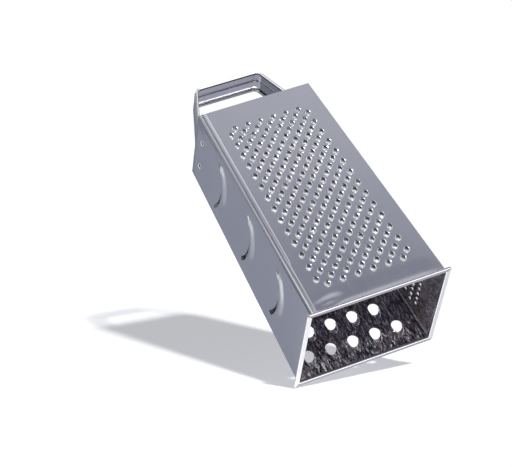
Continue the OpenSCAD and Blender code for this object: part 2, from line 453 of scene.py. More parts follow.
wallSteel = steelFinish("wallSteel", wallLook)
# a lighter copy of the wall steel: painted highlight on the raised outsides of the lower points
# and the fine collars
burrHighlightSteel = outsideSteel("burrHighlightSteel", (0.82, 0.82, 0.83), (0.7, 0.705, 0.72), roughness=0.2)
# a lighter copy of the wall steel: painted highlight on the handle's bar and tabs
handleHighlightSteel = outsideSteel(
    "handleHighlightSteel", (0.92, 0.92, 0.94), (0.84, 0.84, 0.87),
    roughness=0.2, grainScale=(26.0, 1500.0, 26.0),
)
# a darker copy of the wall steel: painted shade on the handle's legs
legShadeSteel = outsideSteel("legShadeSteel", (0.36, 0.365, 0.395), (0.28, 0.285, 0.315), bump=0.12)
# a near-white copy of the wall steel: painted highlight on the foot's and hooks' bends, a seam
# bead and the rivets' dish sides
highlightSteel = outsideSteel("highlightSteel", (0.99, 0.99, 0.99), (0.93, 0.93, 0.94), roughness=0.22)
# a lighter copy of the wall steel: painted highlight on seam beads and the left wall's hem flats
paleHighlightSteel = outsideSteel("paleHighlightSteel", (0.88, 0.88, 0.9), (0.82, 0.82, 0.85))
# a darker copy of the wall steel: painted shade on the front and back walls' hem flats
shadedHemSteel = outsideSteel("shadedHemSteel", (0.34, 0.33, 0.38), (0.28, 0.275, 0.32))
rivetSteel = outsideSteel("rivetSteel", (0.6, 0.605, 0.62), (0.48, 0.485, 0.5), roughness=0.3)
# near black: painted shade on the lower points' bores and the rivets' bores and shanks
boreShadeSteel = paintedShadeSteel("boreShadeSteel", (0.015, 0.015, 0.02), (0.01, 0.01, 0.012), 0.5)
# very dark: painted shade in the seam's gaps, round the points' feet, in the upper points' bores,
# in the handle's underside creases and on the rivets' dish floors
creaseShadeSteel = paintedShadeSteel("creaseShadeSteel", (0.1, 0.1, 0.12), (0.06, 0.06, 0.08), 0.4)
insideSteel = insideFinish("insideSteel", insideLook)
# the fine wall is duller and browner inside
dullSteel = insideFinish("dullSteel", dict(
    insideLook, streakScale=(420.0, 420.0, 300.0), roughness=0.3, bump=0.7,
    stops=[
        (0.4, (0.26, 0.22, 0.24)), (0.5, (0.45, 0.4, 0.43)), (0.6, (0.65, 0.6, 0.62)),
        (0.68, (0.9, 0.87, 0.87)),
    ],
    marks=[(0.48, 0.0), (0.7, 0.3)],
))
# a lighter copy of the inside finish: painted highlight along the sheet's edge in the inner corner
lipHighlightSteel = insideFinish("lipHighlightSteel", dict(
    insideLook, stops=[(0.4, 0.5), (0.6, 0.8)], marks=[(0.3, 0.7), (0.7, 0.9)],
    blotch=(0.6, 0.6, 0.62, 1),
))
print("finishes made")


# One wall's bare sheet with its folded foot and its corner hooks

hem = {
    "reach": 3.4, "height": 1.8, "gap": 0.3, "bend": 0.4, "backReach": 0.75, "cornerReach": 2.75,
}
seam = {
    "hookWidth": 1.3, "bend": 0.5, "start": 2.3, "topGap": 0.1,
    # along the corner: near edge, far edge, height, from where to where up the wall (0 is the
    # top), and steel, a near-white or lighter copy that paints highlights on the turns
    "beads": [
        (1.2, 1.95, 0.55, 2.4, 0, highlightSteel), (2.3, 2.7, 0.35, 2.4, 0, paleHighlightSteel),
        (3.1, 4.8, 0.32, 2.4, 48, paleHighlightSteel), (3.5, 5.8, 0.32, 46, 0, paleHighlightSteel),
    ],
    # gaps between the beads, painted dark as shade: near edge, far edge
    "creases": [(1.9, 2.35), (2.65, 3.15)],
    "creaseSunk": 0.08, "creaseHeight": 0.24,
    # an edge that is folded round the corner lies this near it and is at least this long
    "nearCorner": 0.6, "shortest": 5,
}


def footBend(wall):
    # how far up the wall, at the mid line of the sheet, the foot starts to bend
    return (body["sheet"] / 2 + hem["bend"]) * (1 - math.sin(tilt(wall))) / math.cos(tilt(wall))


def foldFoot(piece, wall):
    # the bottom edge is folded out, up and back in, like a hem
    half, bend, lean = body["sheet"] / 2, hem["bend"], tilt(wall)
    out = Vector((0, -math.sin(lean), math.cos(lean)))
    up = Vector((0, math.cos(lean), math.sin(lean)))
    axis = (1, 0, 0)
    centre = Vector((0, footBend(wall), half + bend))
    pickEdges(piece, lambda a, b: max(a.y, b.y) < centre.y + slack)
    swing(centre, axis, 90 - math.degrees(lean), steps=5)
    outer = hem["reach"] - half - bend
    step = out * (outer - centre.dot(out))
    pull(step)
    swing(centre + step, axis, 90, steps=6)
    rise = hem["height"] - 2 * (half + bend)
    pull(up * rise)
    swing(centre + step + up * rise, axis, 90, steps=6)
    pull(-out * (outer - hem["backReach"]))
    objectMode()
    # both ends are mitred: further out is longer
    for vertex in piece.data.vertices:
        x, y, z = vertex.co
        if vertex.co.dot(up) < hem["height"] and (
            y < centre.y - hairSlack or z > half + hairSlack
        ):
            reach = min(vertex.co.dot(out), hem["cornerReach"]) - hem["gap"]
            vertex.co.x = math.copysign(1, x) * (halfAcross(wall, 0) + reach)


def foldHook(piece, wall, side):
    # the side edge goes round the corner and lies on the next wall's outer face
    half, bend = body["sheet"] / 2, seam["bend"]
    edgeLine = Vector((-side * taper(wall), 1, 0)).normalized()
    base = Vector((side * (halfAcross(wall, 0) + 3 * half - bend), 0, half - bend))

    def beyond(co):
        return side * co.x - halfAcross(wall, co.y)

    pickEdges(
        piece,
        lambda a, b: min(a.y, b.y) > seam["start"] - slack
        and min(beyond(a), beyond(b)) > -seam["nearCorner"]
        and abs(a.y - b.y) > seam["shortest"],
    )
    swing(base, edgeLine * side, 90, steps=6)
    pull((0, 0, -(seam["hookWidth"] + half - bend)))


def bareSheet(name, wall, hooks):
    # hooks: the sides, -1 left and 1 right, on which this sheet goes round the corner
    half, top, low = body["sheet"] / 2, slopeTop(wall), footBend(wall)
    clearSelection()
    bpy.ops.mesh.primitive_plane_add(size=1, location=(0, (top + low) / 2, half))
    piece = justMade(name)
    bpy.ops.object.mode_set(mode="EDIT")
    bpy.ops.transform.resize(value=(2 * halfAcross(wall, low), top - low, 1))
    bpy.ops.mesh.select_all(action="SELECT")
    objectMode()
    applyPlace()
    for vertex in piece.data.vertices:
        side = math.copysign(1, vertex.co.x)
        reach = 3 * half - seam["bend"] if side in hooks else -closeFit
        vertex.co.x = side * (halfAcross(wall, vertex.co.y) + reach)
    editAll()
    bpy.ops.mesh.bisect(plane_co=(0, seam["start"], 0), plane_no=(0, 1, 0))
    objectMode()
    for side in hooks:
        foldHook(piece, wall, side)
    objectMode()
    for vertex in piece.data.vertices:
        if vertex.co.y < low + slack and abs(vertex.co.z - half) < slack:
            vertex.co.x = math.copysign(halfAcross(wall, 0) - hem["gap"] / 2, vertex.co.x)
    foldFoot(piece, wall)
    thicken(piece, body["sheet"])
    smoothTo(piece, degrees=32)
    return piece


def bead(wall, side, near, far, height, start, end, steel):
    # a soft ridge along the seam: a ball stretched up the wall, half of it inside the sheet
    piece = ball("bead", 16, 8)
    half = (far - near) / 2
    end = end or slopeTop(wall) - seam["topGap"]
    for vertex in piece.data.vertices:
        x, y, z = vertex.co
        if y > hairSlack:
            y = end - half * 2 * (1 - y)
        elif y < -hairSlack:
            y = start + half * 2 * (1 + y)
        else:
            y = (start + end) / 2
        across = side * (halfAcross(wall, y) - near - half) + x * half
        vertex.co = (across, y, body["sheet"] + z * height)
    smoothTo(piece, degrees=60)
    piece.data.materials.append(steel)
    return piece


def seamBand(wall, side):
    # the turns of the folded seam that show beside a hook, with painted highlights on them and
    # painted shade in the gaps between them
    parts = [bead(wall, side, *sizes) for sizes in seam["beads"]]
    sheet, start, top = body["sheet"], seam["start"], slopeTop(wall) - seam["topGap"]
    for near, far in seam["creases"]:
        gap = block(
            "gap",
            (far - near, top - start, seam["creaseHeight"]),
            (0, (start + top) / 2, sheet - seam["creaseSunk"]),
        )
        for vertex in gap.data.vertices:
            vertex.co.x += side * (halfAcross(wall, vertex.co.y) - (near + far) / 2)
        gap.data.materials.append(creaseShadeSteel)
        parts.append(gap)
    return joinAll(parts, "seamBand")


# which faces take which steel: turns of the normal, and distances from the sheet
shadeBy = {
    "looksIn": -0.3, "innerDepth": 0.12, "towardsMiddle": -0.25,
    "flat": 0.985, "footAbove": 0.6, "footUnder": 0.35, "footTurn": 0.4,
    "hookOut": 0.3, "hookBend": (0.2, 0.97),
}


def looksIn(face):
    return face.normal.z < shadeBy["looksIn"]


def shadeInside(piece, outerMaterial, innerMaterial, depth=shadeBy["innerDepth"]):
    # faces that look into the body take the darker, unpolished inside finish, partly painted shade
    mesh = piece.data
    mesh.materials.clear()
    for material in (outerMaterial, innerMaterial):
        mesh.materials.append(material)
    for face in mesh.polygons:
        face.material_index = 1 if looksIn(face) and face.center.z < depth else 0


def shadeFoot(piece, wall, flatMaterial):
    # the hem's and the hooks' bends take near-white steel, a painted highlight; the hem's flats
    # take the given steel, which is painted shade on the front and back walls and a painted
    # highlight on the left
    mesh = piece.data
    for material in (flatMaterial, highlightSteel):
        mesh.materials.append(material)
    for face in mesh.polygons:
        centre, normal = face.center, face.normal
        outside = centre.z > body["sheet"] * 0.3 and normal.y < shadeBy["footTurn"]
        inFoot = outside and centre.y < hem["height"] + shadeBy["footAbove"]
        within = looksIn(face) and centre.z < shadeBy["innerDepth"]
        beyond = abs(centre.x) > halfAcross(wall, centre.y) + shadeBy["hookOut"]
        least, most = shadeBy["hookBend"]
        if centre.y < shadeBy["footUnder"] or inFoot:
            level = max(abs(normal.y), abs(normal.z))
            face.material_index = 2 if level > shadeBy["flat"] else 3
        elif within and centre.y < seam["start"]:
            face.material_index = 2
        elif beyond and least < abs(normal.x) < most and normal.z > 0:
            face.material_index = 3


def shadeBore(piece, outerMaterial, innerMaterial):
    # the walls of a bore and what looks into the body take the second steel, dark as painted
    # shade; the raised outside takes the first, a painted highlight where it is lighter than the
    # wall
    mesh = piece.data
    for material in (outerMaterial, innerMaterial):
        mesh.materials.append(material)
    for face in mesh.polygons:
        spread = face.normal.xy.dot(face.center.xy.normalized())
        dark = looksIn(face) or spread < shadeBy["towardsMiddle"]
        face.material_index = 1 if dark else 0


def rowPlaces(pattern, shift=0.0):
    # the staggered rows fan out with the wall
    places = []
    last, first = pattern["rows"] - 1, pattern["pitchTop"]
    grown = pattern["pitchBottom"] - first
    for row in range(pattern["rows"]):
        pitch = first + grown * row / last
        drop = pattern["rowShare"] * (first * row + grown * row * row / (2 * last))
        number = pattern["count"] - (0 if (row % 2 == 1) == pattern["oddLong"] else 1)
        for column in range(number):
            across = shift + (column - (number - 1) / 2) * pitch
            places.append((across, pattern["top"] - drop))
    return places


def ringStack(name, rings, sides):
    # a closed ring of quads: circles extruded one from the other and bridged shut
    clearSelection()
    radius, height = rings[0]
    bpy.ops.mesh.primitive_circle_add(vertices=sides, radius=radius, location=(0, 0, height))
    piece = justMade(name)
    applyPlace()
    editAll()
    for nextRadius, nextHeight in rings[1:]:
        bpy.ops.mesh.extrude_edges_move(
            TRANSFORM_OT_translate={"value": (0, 0, nextHeight - height)}
        )
        scale = nextRadius / radius
        bpy.ops.transform.resize(value=(scale, scale, 1), center_override=(0, 0, nextHeight))
        radius, height = nextRadius, nextHeight

    def offRing(co, ring):
        return abs(co.xy.length - ring[0]) + abs(co.z - ring[1])

    def onEnd(co):
        return min(offRing(co, rings[0]), offRing(co, rings[-1])) < 2 * hairSlack

    pickEdges(piece, lambda a, b: onEnd(a) and onEnd(b) and abs(a.z - b.z) < hairSlack)
    bpy.ops.mesh.bridge_edge_loops()
    bpy.ops.mesh.select_all(action="SELECT")
    bpy.ops.mesh.normals_make_consistent(inside=False)
    objectMode()
    return piece


# Front wall: pierced points

rasp = {
    "top": 170.1, "pitchTop": 9.84, "pitchBottom": 11.35, "rows": 29, "count": 7,
    "rowShare": 0.5, "oddLong": True, "shift": 0.6,
    # rings of a point from the buried flange over the torn rim into the bore: radius, height
    "rings": [
        (1.9, 0.06), (2.98, 0.12), (2.95, 0.45), (2.64, 0.5), (2.56, 0.85), (2.42, 1.3),
        (2.26, 1.56), (1.95, 1.66), (1.64, 1.7), (1.5, 1.3), (1.55, 0.5),
    ],
    "rim": 1.6,
    "shadeRingRadius": 2.6,
    "sides": 16,
    "flatShares": (0.98, 0.9),  # how round the outline is at the sheet and at the rim
    "hole": 2.3,
    "notch": 0.6,
    "turn": 7.0,
    "stretch": 0.07,
    "daylight": 151.0,  # daylight from the open top reaches the bores above this; it is painted in, as less dark bores
}
# the sheet is drawn in above the folded foot, with a dent in it
press = {
    "top": 19.0, "deepest": 6.5, "foot": 2.6, "depth": 0.55, "side": 48.0, "fade": 11.0,
    "cutFrom": 2.2,
    "dent": (-33.5, 8.6), "dentHalf": (13.5, 5.4), "dentTurn": 9.0, "dentRise": 1.15,
    # the lines that give the sheet enough faces to bend there
    "rows": [17, 15, 13.2, *(12.4 - 0.8 * n for n in range(13))],
    "columns": [*range(-47, -19, 2), *range(-18, 48, 4)],
}


def raspPoint(outerMaterial, boreMaterial):
    point = ringStack("raspPoint", rasp["rings"], rasp["sides"])
    low, high = rasp["flatShares"]
    for vertex in point.data.vertices:
        # 1 at the four corners, 0 half way between them
        corner = 0.5 + 0.5 * math.cos(4 * math.atan2(vertex.co.y, vertex.co.x))
        share = low + (high - low) * min(1, vertex.co.z / rasp["rim"])
        share += (1 - share) * corner
        vertex.co.x *= share
        vertex.co.y *= share
        if vertex.co.z > rasp["rim"]:
            vertex.co.z -= rasp["notch"] * corner ** 3  # the sheet is torn open at the corners
    shadeBore(point, outerMaterial, boreMaterial)
    # a dark ring round the point's foot: painted shade in the crease where it meets the sheet
    point.data.materials.append(creaseShadeSteel)
    for face in point.data.polygons:
        if face.center.xy.length > rasp["shadeRingRadius"] and face.normal.z > -0.5:
            face.material_index = 2
    smoothTo(point, degrees=50)
    return point


def pressFoot(sheet):
    activate(sheet)
    editAll()
    bpy.ops.mesh.bisect(plane_co=(0, press["top"], 0), plane_no=(0, 1, 0))
    lines = [((0, v, 0), (0, 1, 0)) for v in press["rows"]]
    lines += [((u, 0, 0), (1, 0, 0)) for u in press["columns"]]
    for place, normal in lines:
        pickVerts(sheet, lambda co: press["cutFrom"] < co.y < press["top"] + slack)
        bpy.ops.mesh.bisect(plane_co=place, plane_no=normal)
    objectMode()
    turn = math.radians(press["dentTurn"])
    for vertex in sheet.data.vertices:
        u, v = vertex.co.x, vertex.co.y
        if press["foot"] < v < press["top"] and vertex.co.z < body["sheet"] + 0.1:
            fall = smooth((press["top"] - v) / (press["top"] - press["deepest"]))
            fall *= smooth((v - press["foot"]) / (press["deepest"] - press["foot"]))
            fade = smooth((press["side"] - abs(u)) / press["fade"])
            vertex.co.z -= press["depth"] * fall * fade
            u, v = u - press["dent"][0], v - press["dent"][1]
            u, v = (
                u * math.cos(turn) + v * math.sin(turn), v * math.cos(turn) - u * math.sin(turn)
            )
            reach = (u / press["dentHalf"][0]) ** 2 + (v / press["dentHalf"][1]) ** 2
            if reach < 1:
                vertex.co.z += press["dentRise"] * (1 - reach) ** 2


def frontWall():
    sheet = bareSheet("frontWall", front, [1])
    pressFoot(sheet)
    spots = rowPlaces(rasp, rasp["shift"])
    cutter = cylinder("raspCutter", 4, rasp["hole"], cutDepth, rotation=(0, 0, math.pi / 4))
    for vertex in cutter.data.vertices:  # corners along the wall's own axes
        angle = math.atan2(vertex.co.y, vertex.co.x)
        snapped = round(angle / (math.pi / 2)) * math.pi / 2
        vertex.co.x = rasp["hole"] * math.cos(snapped)
        vertex.co.y = rasp["hole"] * math.sin(snapped)
    cut(sheet, copiesAt(cutter, shiftedTo(spots), "raspCutter"))
    shadeInside(sheet, wallSteel, insideSteel)
    shadeFoot(sheet, front, shadedHemSteel)
    places = []
    for shift in shiftedTo(spots):
        stretch = 1 + random.uniform(-rasp["stretch"], rasp["stretch"])
        turn = math.radians(random.uniform(-rasp["turn"], rasp["turn"]))
        places.append(
            shift @ Matrix.Rotation(turn, 4, "Z") @ Matrix.Diagonal((1, 1, stretch, 1))
        )
    upper = [place for place in places if place.translation.y > rasp["daylight"]]
    lower = [place for place in places if place.translation.y <= rasp["daylight"]]
    # upper points keep the wall's steel and less dark bores, painted light; lower points take a
    # lighter outside, a painted highlight, and black bores, painted shade
    points = [
        copiesAt(raspPoint(wallSteel, creaseShadeSteel), upper, "upperPoints"),
        copiesAt(raspPoint(burrHighlightSteel, boreShadeSteel), lower, "lowerPoints"),
    ]
    points = joinAll(points, "raspPoints")
    piece = joinAll([sheet, points, seamBand(front, -1)], "frontWall")
    setDown(piece, wallPlace(front), "front_rasp_wall")


# Right wall: fine collars with a slanted cutting lip

fine = {
    "top": 168.2, "pitchTop": 4.55, "pitchBottom": 5.4, "rows": 24, "count": 11,
    "rowShare": 1.277, "oddLong": False,
    "rings": [
        (1.5, 0.05), (2.05, 0.1), (2.0, 0.42), (1.86, 0.56), (1.66, 0.95), (1.52, 1.2),
        (1.38, 1.22), (1.3, 0.9),
    ],
    "sides": 12,
    "hole": 1.6,
    "stretch": 0.06,
    # the lip's fall across the collar, and the heights from which and over which it falls
    "lip": 0.55, "lipHalf": 1.6, "lipStart": 0.6, "lipFoot": 0.5, "lipHeight": 0.7,
}
# the edge of the sheet that shows in the inner corner beside the coarse wall
innerEdge = {"radius": 0.42, "low": 3.0, "drop": 22.0, "inset": 1.3, "level": 0.05}


def fineCollar():
    collar = ringStack("fineCollar", fine["rings"], fine["sides"])
    for vertex in collar.data.vertices:
        if vertex.co.z > fine["lipStart"]:
            across = vertex.co.y / fine["lipHalf"] * 0.5 + 0.5
            up = (vertex.co.z - fine["lipFoot"]) / fine["lipHeight"]
            vertex.co.z -= fine["lip"] * across * up
    shadeBore(collar, burrHighlightSteel, insideSteel)
    smoothTo(collar, degrees=50)
    return collar


def insideLip():
    low, top = innerEdge["low"], slopeTop(right) - innerEdge["drop"]
    lip = cylinder(
        "insideLip", 8, innerEdge["radius"], top - low,
        rotation=(math.pi / 2, 0, 0), location=(0, (top + low) / 2, innerEdge["level"]),
    )
    for vertex in lip.data.vertices:
        vertex.co.x += halfAcross(right, vertex.co.y) - innerEdge["inset"]
    smoothTo(lip, degrees=60)
    lip.data.materials.append(lipHighlightSteel)
    return lip


def rightWall():
    sheet = bareSheet("rightWall", right, [])
    rivetBores(sheet)
    spots = rowPlaces(fine)
    cutter = cylinder("fineCutter", fine["sides"], fine["hole"], cutDepth)
    cut(sheet, copiesAt(cutter, shiftedTo(spots), "fineCutter"))
    shadeInside(sheet, wallSteel, dullSteel)
    shadeFoot(sheet, right, wallSteel)
    places = []
    for shift in shiftedTo(spots):
        stretch = 1 + random.uniform(-fine["stretch"], fine["stretch"])
        places.append(shift @ Matrix.Diagonal((1, 1, stretch, 1)))
    collars = copiesAt(fineCollar(), places, "fineCollars")
    bands = [seamBand(right, -1), seamBand(right, 1), insideLip()]
    piece = joinAll([sheet, collars, *bands], "rightWall")
    setDown(piece, wallPlace(right), "right_fine_wall")


# Back wall: large round holes, each with a hood below it

coarse = {
    "top": 171.5, "pitchTop": 14.9, "pitchBottom": 17.15, "rows": 10, "count": 5,
    "rowShare": 1.065, "oddLong": True,
    "hole": 4.0, "slotShort": 0.45, "sides": 40, "cutDepth": 4.0,
    "hoodHalf": 4.75, "hoodLength": 9.2, "hoodHeight": 2.9,
    "hoodSheet": 0.9,  # its thickness as a share of the sheet's
    "ridge": 0.18, "ridges": 2.5,
    "mouth": (0.5, 0.9),  # how far the mouth reaches in the middle, and how far less at the sides
}


def coarseHood():
    # half of an egg-shaped shell, open towards the hole
    sheet = body["sheet"]
    crown = coarse["hoodHeight"] + sheet * 0.5
    hood = ball("coarseHood", coarse["sides"], 16)
    editAll()
    bpy.ops.transform.resize(value=(coarse["hoodHalf"], coarse["hoodLength"], crown))
    for normal in ((0, 0, -1), (0, 1, 0)):
        bpy.ops.mesh.select_all(action="SELECT")
        bpy.ops.mesh.bisect(
            plane_co=(0, 0, 0), plane_no=normal, clear_outer=True, clear_inner=False
        )
    objectMode()
    reach, fall = coarse["mouth"]
    for vertex in hood.data.vertices:
        wave = math.sin(2 * math.pi * coarse["ridges"] * (vertex.co.z / crown))
        vertex.co.z += sheet * 0.3 + coarse["ridge"] * wave
        if vertex.co.y > -slack:  # the mouth is cut back in a shallow curve
            vertex.co.y += reach - fall * (vertex.co.x / coarse["hoodHalf"]) ** 2
    thicken(hood, sheet * coarse["hoodSheet"], -1.0)
    cut(hood, cylinder("hoodCutter", coarse["sides"], coarse["hole"], 3 * coarse["cutDepth"]))
    smoothTo(hood, degrees=35)
    return hood


def backWall():
    sheet = bareSheet("backWall", back, [-1])
    places = shiftedTo(rowPlaces(coarse))
    cutter = cylinder("coarseCutter", coarse["sides"], coarse["hole"], coarse["cutDepth"])
    for vertex in cutter.data.vertices:
        if vertex.co.y < 0:
            vertex.co.y *= (coarse["hoodLength"] - coarse["slotShort"]) / coarse["hole"]
    cut(sheet, copiesAt(cutter, places, "coarseCutter"))
    shadeInside(sheet, wallSteel, insideSteel)
    shadeFoot(sheet, back, shadedHemSteel)
    hoods = copiesAt(coarseHood(), places, "coarseHoods")
    shadeInside(hoods, wallSteel, insideSteel, 9)
    piece = joinAll([sheet, hoods, seamBand(back, 1)], "backWall")
    setDown(piece, wallPlace(back), "back_coarse_wall")


# Left wall: three raised slicing blades, and a cut top edge that is dragged inwards a little

slicer = {
    "creases": [35.5, 84.5, 133.5], "radius": 43.5, "blade": 6.5, "rise": 1.5, "slot": 3.3,
    "endAngle": 37.5, "slotEndAngle": 43.5, "endLength": 7.0, "ramp": 4.4, "columns": 56,
    "easedEdge": 0.7, "easedBy": 0.46,
}


def endAngle(depth):
    # half of the angle that a blade and its slot span, at a distance inside the crease
    grown = slicer["slotEndAngle"] - slicer["endAngle"]
    total = slicer["blade"] + slicer["slot"]
    return math.radians(slicer["endAngle"] + grown * depth / total)


def arcGrid(name, crease, depth, rows):
    # a grid bent round the crease's centre: its first row is the crease, its last the inner arc
    clearSelection()
    bpy.ops.mesh.primitive_grid_add(
        x_subdivisions=slicer["columns"], y_subdivisions=rows, size=2
    )
    piece = justMade(name)
    for vertex in piece.data.vertices:
        inside = depth * (vertex.co.y + 1) / 2
        radius = slicer["radius"] - inside
        angle = endAngle(inside) * vertex.co.x
        across, down = radius * math.sin(angle), radius * math.cos(angle)
        vertex.co = (across, crease + slicer["radius"] - down, 0)
    return piece


def slicerBlade(crease):
    outer = slicer["radius"]
    blade = arcGrid("blade", crease, slicer["blade"], 12)
    for vertex in blade.data.vertices:
        offset = Vector((vertex.co.x, vertex.co.y - crease - outer))
        inside = outer - offset.length
        toEnd = (endAngle(inside) - abs(math.atan2(offset.x, -offset.y))) * offset.length
        # steep above the crease, level towards the edge
        climb = smooth(toEnd / slicer["endLength"]) * smooth(inside / slicer["ramp"])
        vertex.co.z = body["sheet"] / 2 + slicer["rise"] * climb
    thicken(blade, body["sheet"])
    smoothTo(blade, degrees=32)
    return blade


def easeTop(sheet):
    top = slopeTop(left)
    activate(sheet)
    editAll()
    bpy.ops.mesh.bisect(plane_co=(0, top - slicer["easedEdge"], 0), plane_no=(0, 1, 0))
    objectMode()
    for vertex in sheet.data.vertices:
        if vertex.co.y > top - 0.1 and vertex.co.z > body["sheet"] * 0.8:
            vertex.co.z -= slicer["easedBy"]


def leftWall():
    sheet = bareSheet("leftWall", left, [-1, 1])
    rivetBores(sheet)
    easeTop(sheet)
    cutters = []
    for crease in slicer["creases"]:
        cutter = arcGrid("slotCutter", crease, slicer["blade"] + slicer["slot"], 1)
        useModifier(cutter, "SOLIDIFY", thickness=6, offset=0)
        tidyNormals(cutter)
        cutters.append(cutter)
    cut(sheet, joinAll(cutters, "slotCutters"))
    shadeInside(sheet, wallSteel, insideSteel)
    shadeFoot(sheet, left, paleHighlightSteel)
    blades = joinAll([slicerBlade(crease) for crease in slicer["creases"]], "blades")
    shadeInside(blades, wallSteel, insideSteel, 9)
    piece = joinAll([sheet, blades], "leftWall")
    setDown(piece, wallPlace(left), "left_slicer_wall")


# Handle: a strip with rolled edges and a pressed rib, its wide tabs inside the side walls

strip = {
    "top": 230.5, "thickness": 0.7, "lean": 22.0, "bendRadius": 6.0,
    "leanRadius": 4.0, "leanDrop": 2.0, "tail": 4.0,
    "tabWidth": 33.0, "tabLength": 19.0, "tabThickness": 0.8, "tabCorner": 3.5, "tabDrop": 0.6,
    # mid line of half the section from the rib to the rolled edge: across, depth
    "section": [
        (0.0, 1.2), (0.4, 1.05), (0.75, 0.62), (1.3, 0.38), (2.2, 0.35), (4.5, 0.35),
        (7.2, 0.35), (8.8, 0.35), (9.5, 0.6), (9.88, 1.2), (9.6, 1.85), (8.9, 2.12),
        (8.2, 1.95),
    ],
    "creases": [(0.5, 1.1), (8.7, 9.4)],  # painted shade lines on the underside: across, from and to
    "legTurn": 0.4, "legDrop": 4.2,  # the legs' darker steel, painted shade: least turn, and depth below the top
}


def bentStrip():
    # drawn from the middle of the bar down one leg, then mirrored
    lean, side = math.radians(strip["lean"]), tilt(right)
    top, bend = strip["top"], strip["bendRadius"]
    leanZ = body["height"] - strip["leanDrop"]
    wallX = body["bottomWidth"] / 2 - leanZ * math.tan(side)
    # where the leg's and the bar's outer faces meet
    cornerX = wallX - (top - leanZ) * math.tan(lean)
    toStart = bend * math.tan((math.pi / 2 - lean) / 2)
    centre = Vector((cornerX - toStart, 0, top - bend))
    # the section starts as a row of edges at the middle of the bar
    half = strip["section"]
    points = [(-a, d) for a, d in reversed(half[1:])] + half
    clearSelection()
    bpy.ops.mesh.primitive_grid_add(x_subdivisions=1, y_subdivisions=len(points) - 1, size=2)
    piece = justMade("handleStrip")
    columns = sorted({round(v.co.y, 4) for v in piece.data.vertices})
    for vertex in piece.data.vertices:
        across, depth = points[columns.index(round(vertex.co.y, 4))]
        vertex.co = (0 if vertex.co.x < 0 else centre.x, across, top - depth)
    pickEdges(piece, lambda a, b: min(a.x, b.x) > centre.x - hairSlack)
    swing(centre, (0, 1, 0), -(90 - strip["lean"]), steps=10)
    down = Vector((math.sin(lean), 0, -math.cos(lean)))
    out = Vector((math.cos(lean), 0, math.sin(lean)))
    legStart = centre + out * bend
    turn = lean - side
    legLength = (legStart.z - leanZ) / math.cos(lean) - strip["leanRadius"] * math.tan(turn / 2)
    pull(down * legLength)
    pivot = legStart + down * legLength + out * strip["leanRadius"]
    swing(pivot, (0, 1, 0), math.degrees(turn), steps=4)
    pull(Vector((math.sin(side), 0, -math.cos(side))) * strip["tail"])
    objectMode()
    useModifier(
        piece, "MIRROR", use_axis=(True, False, False), use_clip=True, merge_threshold=0.001
    )
    thicken(piece, strip["thickness"])
    smoothTo(piece, degrees=50)
    return piece


def tuckBehind(piece, wall):
    # below the walls' top edge the strip stays behind the sheet
    place = Matrix.Scale(1 / millimetre, 4) @ wallPlace(wall)
    for vertex in piece.data.vertices:
        spot = place.inverted() @ vertex.co
        if spot.y < slopeTop(wall) - 0.2 and -closeFit < spot.z < 3:
            spot.z = -closeFit
            vertex.co = place @ spot


def shadeStrip(piece):
    # bar faces keep the lighter steel, a painted highlight; leg faces take the darker one and the
    # underside's crease lines the darkest, both painted shade
    for material in (handleHighlightSteel, legShadeSteel, creaseShadeSteel):
        piece.data.materials.append(material)
    for face in piece.data.polygons:
        centre = face.center
        offAxis = abs(centre.y)
        inner = face.normal.dot(Vector((0, centre.y, body["height"])) - centre) > 0
        if inner and any(low < offAxis < high for low, high in strip["creases"]):
            face.material_index = 2
        elif abs(face.normal.x) > strip["legTurn"] and strip["top"] - centre.z > strip["legDrop"]:
            face.material_index = 1


def handleTab(wall):
    length, thickness = strip["tabLength"], strip["tabThickness"]
    tab = block("tab", (strip["tabWidth"], length, thickness))
    pickEdges(tab, lambda a, b: abs(a.z - b.z) > 0.1)
    bpy.ops.mesh.bevel(offset=strip["tabCorner"], segments=6, profile=0.5, affect="EDGES")
    objectMode()
    up = (body["height"] - length / 2 - strip["tabDrop"]) / math.cos(tilt(wall))
    tab.data.transform(
        wallPlace(wall) @ Matrix.Translation((0, up, -thickness / 2 - closeFit))
    )
    tab.data.transform(Matrix.Scale(1 / millimetre, 4))
    tab.data.materials.append(handleHighlightSteel)
    return tab


def handle():
    piece = bentStrip()
    for wall in (right, left):
        tuckBehind(piece, wall)
    shadeStrip(piece)
    piece = joinAll([piece, handleTab(left), handleTab(right)], "handleStrip")
    setDown(piece, Matrix.Scale(millimetre, 4), "handle")


# Rivets: dished heads outside, round ones inside, and their holes in the side walls

rivet = {
    "pitch": 24.7, "drop": 11.5, "head": 2.1, "rise": 0.7, "shank": 1.3, "sunk": 0.42,
    "sides": 24, "play": 0.02,
    # rings of the dished outer head, heights over the sheet
    "rings": [
        (1.7, -0.1), (2.5, 0.02), (2.42, 0.28), (2.22, 0.4), (2.02, 0.36), (1.84, 0.07),
        (1.22, 0.03), (1.2, -0.4), (1.28, -0.42),
    ],
    # the rim, the dish's side (painted highlight), its floor (painted shade) and the bore (painted
    # shade) begin outside these radii
    "zones": [(2.05, rivetSteel), (1.86, highlightSteel), (1.25, creaseShadeSteel), (0.0, boreShadeSteel)],
}


def rivetSpots():
    up = (body["height"] - rivet["drop"]) / math.cos(tilt(right))
    return [(side * rivet["pitch"] / 2, up) for side in (-1, 1)]


def rivetBores(sheet):
    bore = rivet["shank"] + rivet["play"]
    cutter = cylinder("boreCutter", rivet["sides"], bore, cutDepth)
    cut(sheet, copiesAt(cutter, shiftedTo(rivetSpots()), "boreCutter"))


